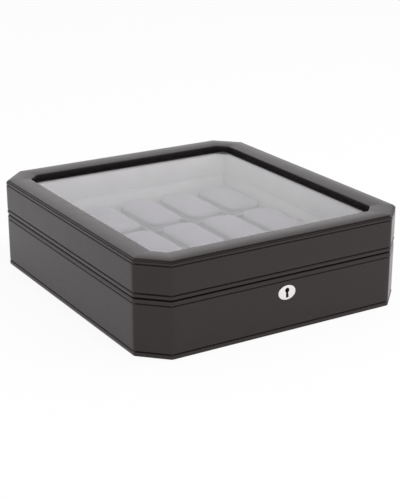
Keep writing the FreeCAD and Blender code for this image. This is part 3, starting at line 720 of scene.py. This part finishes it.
def bezel():
    # Section by the direction of its normal: a small circle at the seam, a wide arc up to the peak, a wide
    # arc down from it and a small circle at the window, each touching the next, then down to the glass and
    # back under the lip. It is carried round the plan with corners that grow rounder towards the window.
    shape = bezelShape
    outer, window = shape["outer"], shape["window"]
    peak, peakZ = shape["peak"]
    arcs = []
    for edge, hand, (r, crown) in ((outer, -1, shape["shoulder"]), (window, 1, shape["roll"])):
        middle = edge - hand * r
        lean = math.asin((middle - peak) / (crown - r))  # where the small circle touches the wide arc
        level = peakZ - crown + (crown - r) * math.cos(lean)
        small = np.linspace(hand * math.pi / 2, lean, 9)
        wide = np.linspace(lean, 0, 16)[1:]
        arc = np.concatenate([
            np.stack([middle + r * np.sin(small), level + r * np.cos(small)], -1),
            np.stack([peak + crown * np.sin(wide), peakZ - crown + crown * np.cos(wide)], -1),
        ])
        arcs.append(arc)
    rollZ = arcs[1][0, 1]
    faceInset, faceZ = np.concatenate([arcs[0], arcs[1][-2::-1]]).T
    seat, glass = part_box("lid_top_frame")[1].z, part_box("padded_bezel")[0].z
    lip = window - shape["skin"]
    inset = np.concatenate([[outer], faceInset, [window, lip, lip]])
    z = np.concatenate([[shape["foot"]], faceZ, [glass, glass, seat]])
    share = np.clip((inset - outer) / (window - outer), 0, 1)
    seamRound, windowRound = shape["cornerRound"]
    rounding = seamRound + (windowRound - seamRound) * share
    stops = sideStops(shape["step"])
    ring = planRing(inset, rounding, stops, turns=9)
    waveX, waveY, start = shape["waves"]
    swell = np.sin(ring[..., 0] / waveX + start) * np.sin(ring[..., 1] / waveY)
    lift = np.zeros(len(inset))
    lift[1:1 + len(faceInset)] = np.sin(math.pi * np.linspace(0, 1, len(faceInset))) ** 2
    points = np.concatenate([ring, (z + shape["swell"] * swell * lift)[..., None]], -1)
    faces = gridFaces(*points.shape[:2], closeColumns=True)[:, ::-1]
    piece = putMesh("bezel_leather", points, faces, blackLeather, 50)
    stand(piece, "lid", "black_leather", "padded_bezel")

    # a thin closed band of dark matte finish on the upright face round the window, down to the glass
    band, bed = shape["band"], shape["bandBed"]
    foot = glass + shape["bandGap"]
    inset = window + np.array([-bed, band / 2, band, band, -bed])
    z = np.array([rollZ, rollZ, rollZ - band, foot, foot])
    ring = planRing(inset, windowRound, stops, turns=9)
    faces = gridFaces(*ring.shape[:2], closeColumns=True)[:, ::-1]
    stand(putMesh("window_edge", atLevels(ring, z), faces, edgePaintAndShade, 50), "lid", "black_leather")


bezel()
print("bezel made")

# Lining: suede covered boards with soft edges

liningShape = {
    "soft": 0.15 * mm,  # rounding of the edges round the well
    "cornerRound": 3 * mm,  # corners of the well
    "beadLift": 0.4 * mm,  # the lining reaches this far up the glazing beads
    "parting": 0.1 * mm,  # between the linings of the lid and of the base
    "step": 14 * mm,  # between the mesh's lines along a side
}
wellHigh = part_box("tray_right_liner")[0].x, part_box("tray_rear_liner")[0].y


def wellRing(stops, grow, turns=5):
    # the rectangle of the well, a point for each point of planRing: a flat side keeps its stops and the
    # points of a cut corner and its two turns share out a quarter circle
    r = liningShape["cornerRound"]
    x, y = wellHigh[0] + grow, wellHigh[1] + grow
    centre = np.array([[-x + r, -y + r], [x - r, -y + r], [x - r, y - r], [-x + r, y - r]])
    parts = {}
    for corner in range(4):
        flat, cut = 2 * corner, (2 * corner - 1) % 8
        total = 2 * turns + len(stops[cut])
        turn = sideTurn[flat] - math.pi / 2 * np.linspace(1, 0, total)
        arc = centre[corner] + r * np.stack([np.cos(turn), np.sin(turn)], -1)
        parts["turn", cut], parts["side", cut], parts["turn", flat] = np.split(arc, [turns, total - turns])
        out, along = sideOut[flat], sideAlong[flat]
        limit = abs(along @ np.array([x, y])) - r
        middle = out * abs(out @ np.array([x, y]))
        parts["side", flat] = middle + np.clip(stops[flat], -limit, limit)[:, None] * along
    return np.concatenate([parts[kind, k] for k in range(8) for kind in ("turn", "side")])


def liningFrame(name, low, high, body, replaced, finish):
    # Closed section between the plan at the leather rim and the well: flat faces with soft inner edges.
    soft = liningShape["soft"]
    stops = sideStops(liningShape["step"])
    a = np.linspace(0, math.pi / 2, 5)
    grow = np.concatenate([soft * (1 - np.sin(a)), soft * (1 - np.cos(a))])
    innerZ = np.concatenate([high - soft * (1 - np.cos(a)), low + soft * (1 - np.sin(a))])
    outer = planRing(np.full(2, rimInset), wrapShape["leastRound"], stops)
    inner = np.stack([wellRing(stops, step) for step in grow], 1)
    points = np.concatenate([atLevels(outer, np.array([low, high])), atLevels(inner, innerZ)], 1)
    faces = gridFaces(*points.shape[:2], closeColumns=True)[:, ::-1]
    piece = putMesh(name, points, faces, finish, 50)
    return stand(piece, body, slotOf[replaced[0]], *replaced)


panelLow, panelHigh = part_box("tray_rim_panel")
liningFrame("tray_rim", panelLow.z, panelHigh.z, "base", ["tray_rim_panel"], liningSuede)
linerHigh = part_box("lid_front_liner")[1]
lidLiners = ["lid_%s_liner" % side for side in ("front", "right", "rear", "left")] + ["lid_corner_liners"]
beadLow = linerHigh.z + liningShape["beadLift"]
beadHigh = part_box("glazing_beads")[1].z
liningFrame("lid_lining", panelHigh.z + liningShape["parting"], beadLow, "lid", lidLiners, liningSuede)
liningFrame("window_beads", beadLow, beadHigh, "lid", ["glazing_beads"], edgePaintAndShade)


softShape = {
    "divider": 0.7 * mm,  # rounding of the edges, by the kind of piece
    "liner": 0.25 * mm,
    "plate": 0.12 * mm,
    "merge": 0.002 * mm,  # points closer than this are one
    "level": 1,  # degrees between faces that count as one face
    "sharp": 35,  # degrees past which an edge is rounded
}


def softened(node, width, segments=3, finish=None):
    # a copy of a CAD node with its loose triangles merged into flat faces and its edges rounded
    shape = softShape
    mesh = nodes[node].data.copy()
    work = bmesh.new()
    work.from_mesh(mesh)
    bmesh.ops.remove_doubles(work, verts=work.verts, dist=shape["merge"])
    bmesh.ops.dissolve_limit(work, angle_limit=math.radians(shape["level"]), verts=work.verts, edges=work.edges)
    sharp = math.radians(shape["sharp"])
    edges = [e for e in work.edges if len(e.link_faces) == 2 and e.calc_face_angle() > sharp]
    rounded = {"offset": width, "segments": segments, "profile": 0.5, "affect": "EDGES", "clamp_overlap": True}
    bmesh.ops.bevel(work, geom=edges, **rounded)
    bmesh.ops.triangulate(work, faces=[f for f in work.faces if len(f.verts) > 4])
    clean = bpy.data.meshes.new(node + "_soft")
    work.to_mesh(clean)
    work.free()
    bpy.data.meshes.remove(mesh)
    clean.materials.append(finish or finishOf[slotOf[node]])
    piece = linkPiece(node + "_soft", clean, 50)
    return stand(piece, bodyOf[node], slotOf[node], node)


dividers = [node for node in nodes if node.startswith(("column_divider", "row_divider"))]
trayLiners = ["tray_%s_liner" % side for side in ("front", "right", "rear", "left")]
for node in sorted(dividers):
    # the dividers take the darker suede, painted shade between the cushions
    softened(node, softShape["divider"], finish=dividerShadeSuede)
for node in trayLiners:
    softened(node, softShape["liner"])
for node in sorted(n for n in nodes if slotOf[n] == "nickel_plate" and "screw" not in n and "pin" not in n):
    softened(node, softShape["plate"], 2)
print("lining and plates made")

# Watch cushions: sewn suede pillows, puffed once by a cloth simulation and set in every cell

cushionShape = {
    "square": 3.4,  # how boxy the section is
    "ends": (7.0, 1 / 2.6),  # powers that make the ends blunt and ease them in
    "start": 0.955,  # size before it is puffed up
    "most": (1.02, 1.005, 1.0),  # largest size after that, as a share of the CAD cushion
    "seam": 0.86,  # place of the end seams, as a share of the half length
    "cloth": {  # stuffing that presses outwards
        "quality": 6,
        "mass": 0.2,
        "tension_stiffness": 12,
        "compression_stiffness": 12,
        "bending_stiffness": 0.4,
        "use_pressure": True,
        "uniform_pressure_force": 4.0,
    },
    "frames": 20,  # of the simulation
    "cap": 3.0 * mm,  # the most that a point may move
    "spread": (24.3 * mm, 46.1 * mm),  # half width and half length above the dividers
    "spreadHeight": (0.3 * mm, 4.5 * mm),  # above the dividers, where it begins and where it is full
    "piping": 0.55 * mm,  # radius of the cord in the end seams
}


def power(wave, exponent):
    # a power of the size of a wave, with the wave's own sign
    return np.sign(wave) * np.abs(wave) ** exponent


def cushionGrid(half):
    # Section: a superellipse across X and Z; its size falls to nothing at both ends along Y as a root of
    # 1 minus a high power of the distance along. Beyond the seams the rows close up as a sine.
    shape = cushionShape
    columns = 56
    around = np.arange(columns) / columns * 2 * math.pi
    seam = shape["seam"]
    beyond = seam + (1 - seam) * np.sin(np.linspace(0, math.pi / 2, 10))[1:]
    along = np.concatenate([np.linspace(-seam, seam, 35), beyond])
    along = np.unique(np.round(np.concatenate([along, -along]), 6))
    along = along[1:-1]  # the very tips are left open, for the end faces
    blunt, ease = shape["ends"]
    size = (1 - np.abs(along) ** blunt) ** ease
    x = half[0] * power(np.cos(around), 2 / shape["square"])
    z = half[2] * power(np.sin(around), 2 / shape["square"])
    points = np.stack(
        [
            size[:, None] * x,
            np.broadcast_to(half[1] * along[:, None], (len(along), len(around))),
            size[:, None] * z,
        ],
        -1,
    )
    return points, along


def seamRows(along):
    # the two rows of the grid that lie on the end seams
    return np.flatnonzero(np.abs(np.abs(along) - cushionShape["seam"]) < 1e-4)


def puff(points, along):
    # the grid with a face at each end; as cloth under pressure with the seams held, its points move outwards,
    # each by no more than the cap
    shape = cushionShape
    rows, columns = points.shape[:2]
    faces = gridFaces(rows, columns, closeRows=False, closeColumns=True).tolist()
    faces += [list(range(columns))[::-1], [(rows - 1) * columns + c for c in range(columns)]]
    pillow = putMesh("cushion_pattern", points, faces, cushionSuede)
    work = bmesh.new()
    work.from_mesh(pillow.data)
    bmesh.ops.recalc_face_normals(work, faces=work.faces)
    work.to_mesh(pillow.data)
    work.free()
    held = pillow.vertex_groups.new(name="seams")
    held.add([int(r * columns + c) for r in seamRows(along) for c in range(columns)], 1.0, "REPLACE")
    cloth = pillow.modifiers.new("stuffing", "CLOTH").settings
    for key, value in shape["cloth"].items():
        setattr(cloth, key, value)
    cloth.vertex_group_mass = "seams"
    cloth.effector_weights.gravity = 0
    scene = bpy.context.scene
    for step in range(1, shape["frames"] + 1):
        scene.frame_set(step)
    graph = bpy.context.evaluated_depsgraph_get()
    moved = np.empty(points.size)
    pillow.evaluated_get(graph).data.vertices.foreach_get("co", moved)
    pillow.modifiers.clear()
    scene.frame_set(1)
    move = moved.reshape(points.shape) - points
    far = np.linalg.norm(move, axis=-1, keepdims=True)
    move *= np.minimum(1, shape["cap"] / np.maximum(far, 1e-9))
    print("cushion puffed by at most %.1f mm" % (far.max() / mm))
    return pillow, points + move


def pipingLoop(loop, radius):
    # a thin cord carried along a closed loop: at each point a circle across the loop's own direction
    ahead = np.roll(loop, -1, 0) - np.roll(loop, 1, 0)
    ahead /= np.linalg.norm(ahead, axis=-1, keepdims=True)
    length = np.array([0.0, 1.0, 0.0])  # of the cushion
    side = np.cross(ahead, length)
    side /= np.linalg.norm(side, axis=-1, keepdims=True)
    sides = 6
    turn = np.arange(sides) / sides * 2 * math.pi
    return loop[:, None] + radius * (np.cos(turn)[:, None] * side[:, None] + np.sin(turn)[:, None] * length)


def cushions():
    # one pillow is puffed, cut level at its foot, widened above the dividers and copied into every cell
    shape = cushionShape
    low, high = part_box("cushion_front_1")
    half = np.array((high - low) / 2)
    grid, along = cushionGrid(half * shape["start"])
    pillow, puffed = puff(grid, along)
    puffed = puffed * np.minimum(1, half * np.array(shape["most"]) / np.abs(puffed).reshape(-1, 3).max(0))
    floor = -half[2]
    puffed[..., 2] = np.maximum(puffed[..., 2], floor)
    puffed[..., 2] += floor - puffed[..., 2].min()
    # above the dividers the pillow widens by a smooth step of the height
    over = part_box("column_divider_1")[1].z - (low.z + high.z) / 2
    start, full = shape["spreadHeight"]
    step = np.clip((puffed[..., 2] - over - start) / (full - start), 0, 1)
    step = step * step * (3 - 2 * step)
    for axis, reach in enumerate(shape["spread"]):
        puffed[..., axis] *= 1 + (reach / np.abs(puffed[..., axis]).max() - 1) * step
    pillow.data.vertices.foreach_set("co", puffed.astype(np.float32).ravel())
    pillow.data.update()
    smooth = pillow.modifiers.new("smooth", "SUBSURF")
    smooth.levels = smooth.render_levels = 1
    applyModifiers(pillow, 180)
    flat = np.empty(len(pillow.data.vertices) * 3)
    pillow.data.vertices.foreach_get("co", flat)
    loops = np.stack([pipingLoop(loop, shape["piping"]) for loop in puffed[seamRows(along)]])
    one = gridFaces(*loops.shape[1:3], closeColumns=True)
    first = np.arange(len(loops)) * loops[0, ..., 0].size
    loopFaces = (one + first[:, None, None]).reshape(-1, 4)
    for node in sorted(n for n in nodes if n.startswith("cushion_")):
        boxLow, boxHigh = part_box(node)
        place = np.array((boxLow + boxHigh) / 2)
        mesh = pillow.data.copy()
        mesh.name = node.replace("cushion", "pillow")
        mesh.vertices.foreach_set("co", (flat.reshape(-1, 3) + place).astype(np.float32).ravel())
        mesh.update()
        piece = linkPiece(mesh.name, mesh, 180)
        stand(piece, bodyOf[node], "cushion_suede", node)
        piping = putMesh(node.replace("cushion", "piping"), loops + place, loopFaces, cushionSuede, 80)
        stand(piping, bodyOf[node], "cushion_suede")
    bpy.data.objects.remove(pillow)


cushions()
print("cushions made")

# Escutcheon: a domed oval with a keyhole

ovalShape = {
    "dome": 0.35 * mm,  # fall from the keyhole to the edge
    "rim": 0.3 * mm,  # rounding at its edge
    "keyRound": 2.3 * mm,  # radius of the keyhole's head
    "keyHeight": 9.4 * mm,
    "neck": 2.0 * mm,  # width of its slot under the head
    "foot": 3.0 * mm,  # and at the foot
    "bevel": 0.25 * mm,  # round the keyhole
}


def keyholeReach(turn):
    # distance from the middle of the oval to the keyhole's edge: the far side of the head's circle, or
    # below that the slanting side or the level foot, whichever is nearer
    shape = ovalShape
    head = shape["keyHeight"] / 2 - shape["keyRound"]
    foot = -shape["keyHeight"] / 2
    cos, sin = np.cos(turn), np.sin(turn)
    under = (head * sin) ** 2 - (head ** 2 - shape["keyRound"] ** 2)
    circle = np.where((under > 0) & (sin > 0), head * sin + np.sqrt(np.maximum(under, 0)), 0)
    lean = (shape["foot"] - shape["neck"]) / 2 / (head - foot)
    middle = shape["neck"] / 2 + lean * head
    slope = np.abs(cos) + lean * sin
    tiny = 1e-6
    side = np.where(slope > tiny, middle / np.maximum(slope, tiny), 1.0)
    level = np.where(sin < -tiny, foot / np.minimum(sin, -tiny), 1.0)
    neck = np.minimum(side, level)
    corner = math.atan2(head - math.sqrt(shape["keyRound"] ** 2 - (shape["neck"] / 2) ** 2), shape["neck"] / 2)
    return np.where(sin > math.sin(corner), circle, neck)


def escutcheon():
    # Surface over angle and distance: from the keyhole's edge out to the oval the height falls by the
    # square of the distance, then turns down round the rim to the leather; inwards it goes down the keyhole.
    shape = ovalShape
    low, high = oval
    a, b = (high.x - low.x) / 2, (high.z - low.z) / 2
    proud = high.y - low.y
    count = 160
    turn = np.arange(count) / count * 2 * math.pi + 0.01  # started a little off the level
    inner = keyholeReach(turn)[:, None]
    outer = 1 / np.sqrt((np.cos(turn) / a) ** 2 + (np.sin(turn) / b) ** 2)[:, None]
    share = np.linspace(0, 1, 14)[None]
    bevel = shape["bevel"]
    flat = (inner + bevel) * (1 - share) + (outer - shape["rim"]) * share
    height = proud - shape["dome"] * share ** 2 * np.ones_like(flat)
    bend = np.linspace(0, math.pi / 2, 7)[None, 1:]
    edge = outer - shape["rim"] + shape["rim"] * np.sin(bend)
    drop = proud - shape["dome"] - shape["rim"] * (1 - np.cos(bend))
    reach = np.concatenate([inner, inner, flat, edge, outer], 1)
    out = np.concatenate(
        [
            np.zeros_like(inner),
            np.full_like(inner, proud - bevel),
            height,
            np.broadcast_to(drop, edge.shape),
            np.zeros_like(outer),
        ],
        1,
    )
    points = np.stack(
        [
            reach * np.cos(turn)[:, None],
            high.y - out,
            keyLevel + reach * np.sin(turn)[:, None],
        ],
        -1,
    )
    faces = gridFaces(*points.shape[:2], closeColumns=True)
    piece = putMesh("escutcheon", points, faces, polishedNickel, 40)
    return stand(piece, "base", "polished_nickel", "lock_escutcheon")


escutcheon()
print("escutcheon made")

# Stage: white floor, soft light and the camera

stageShape = {
    "floor": 12.0,  # width in metres
    "white": 0.88,  # its colour
    "glow": 0.9,  # share of plain white that the eye sees on the floor
    "mirrored": (0.5, 0.88),  # share and brightness of that white in reflections
    "sky": 0.75,  # soft light all round
    # what reflections see of the sky, by the height of a direction: stops of place and brightness
    "rear": ((0.50, 0.87), (0.70, 1.02), (0.84, 1.02), (0.98, 0.76)),
    "front": ((0.50, 1.0), (0.82, 0.10)),
    "slant": {"rear": 1.0, "front": 0.0},  # rise of that height to the right
    "halves": (0.02, 0.34),  # rearward part of a direction where the front ends and the rear begins
    "key": {"place": (0.0, -0.81, 2.05), "size": 0.7, "watts": 14},
    "fill": {"place": (1.3, -0.5, 1.5), "size": 1.4, "watts": 7},
}
cameraShape = {
    "place": (-0.645957, -1.070075, 0.485881),
    "azimuth": 31.352,
    "tilt": -20.005,
    "lens": 91.975,
    "sensor": 36,
}


def studio():
    # a floor that the eye sees as near white and that keeps its shadow, a sky with its own look for
    # reflections, two soft lamps and the camera
    shape = stageShape
    reach = shape["floor"] / 2
    corners = np.array([[-reach, -reach, 0], [reach, -reach, 0], [reach, reach, 0], [-reach, reach, 0]])
    finish, tree, shader, _ = newFinish("paleFloor")
    shader.inputs["Base Color"].default_value = (shape["white"], shape["white"], shape["white"], 1)
    shader.inputs["Roughness"].default_value = 0.9
    shader.inputs["Specular IOR Level"].default_value = 0.0
    path = addNode(tree, "ShaderNodeLightPath").outputs
    share, shine = shape["mirrored"]
    shine = {"Value": path["Is Glossy Ray"], "To Min": 1.0, "To Max": shine}
    shine = addNode(tree, "ShaderNodeMapRange", shine).outputs["Result"]
    glow = addNode(tree, "ShaderNodeEmission", {"Color": (1, 1, 1, 1), "Strength": shine})
    seen = eitherRay(tree, path["Is Camera Ray"], path["Is Transmission Ray"])
    part = addNode(tree, "ShaderNodeMapRange", {"Value": seen, "To Max": shape["glow"]}).outputs["Result"]
    part = {"Value": path["Is Glossy Ray"], "To Min": part, "To Max": share}
    part = addNode(tree, "ShaderNodeMapRange", part).outputs["Result"]
    mix = addNode(tree, "ShaderNodeMixShader", {0: part, 1: shader.outputs[0], 2: glow.outputs[0]})
    tree.links.new(mix.outputs[0], tree.nodes["Material Output"].inputs["Surface"])
    floor = putMesh("floor", corners, [[0, 1, 2, 3]], finish)

    scene = bpy.context.scene
    scene.world = scene.world or bpy.data.worlds.new("studio")
    scene.world.use_nodes = True
    sky = scene.world.node_tree
    back = sky.nodes["Background"]
    back.inputs["Color"].default_value = (1, 1, 1, 1)
    path = addNode(sky, "ShaderNodeLightPath").outputs
    toward = addNode(sky, "ShaderNodeTexCoord").outputs["Generated"]
    toward = addNode(sky, "ShaderNodeSeparateXYZ", {0: toward}).outputs
    smooth = {"interpolation_type": "SMOOTHSTEP"}
    ends = {"Value": toward["Y"], "From Min": shape["halves"][0], "From Max": shape["halves"][1]}
    for half, end in (("front", "To Min"), ("rear", "To Max")):
        (start, ends[end]), *later = shape[half]
        height = {0: toward["X"], 1: shape["slant"][half], 2: toward["Z"]}
        height = addNode(sky, "ShaderNodeMath", height, operation="MULTIPLY_ADD").outputs[0]
        for stop, shine in later:  # each stretch runs on from the one below it
            ramp = {"Value": height, "From Min": start, "From Max": stop, "To Min": ends[end], "To Max": shine}
            ends[end] = addNode(sky, "ShaderNodeMapRange", ramp, **smooth).outputs["Result"]
            start = stop
    dome = addNode(sky, "ShaderNodeMapRange", ends, **smooth).outputs["Result"]
    seen = eitherRay(sky, path["Is Camera Ray"], path["Is Transmission Ray"])
    plain = addNode(sky, "ShaderNodeMapRange", {"Value": seen, "To Min": shape["sky"], "To Max": 1.0})
    level = {"Value": path["Is Glossy Ray"], "To Min": plain.outputs["Result"], "To Max": dome}
    sky.links.new(addNode(sky, "ShaderNodeMapRange", level).outputs["Result"], back.inputs["Strength"])

    for name in ("key", "fill"):
        lamp = shape[name]
        light = bpy.data.lights.new(name + "Lamp", "AREA")
        light.shape = "DISK"
        light.size = lamp["size"]
        light.energy = lamp["watts"]
        source = bpy.data.objects.new(name + "Lamp", light)
        source.location = lamp["place"]
        source.visible_glossy = False  # the sky is what reflections see
        source.rotation_euler = (-Vector(lamp["place"])).to_track_quat("-Z", "Y").to_euler()
        scene.collection.objects.link(source)

    shape = cameraShape
    view = bpy.data.cameras.new("photoView")
    view.lens = shape["lens"]
    view.sensor_width = shape["sensor"]
    camera = bpy.data.objects.new("photoView", view)
    camera.location = shape["place"]
    camera.rotation_euler = (math.radians(90 + shape["tilt"]), 0, math.radians(-shape["azimuth"]))
    scene.collection.objects.link(camera)
    scene.camera = camera
    scene.view_settings.view_transform = "Standard"


studio()
print("stage set")
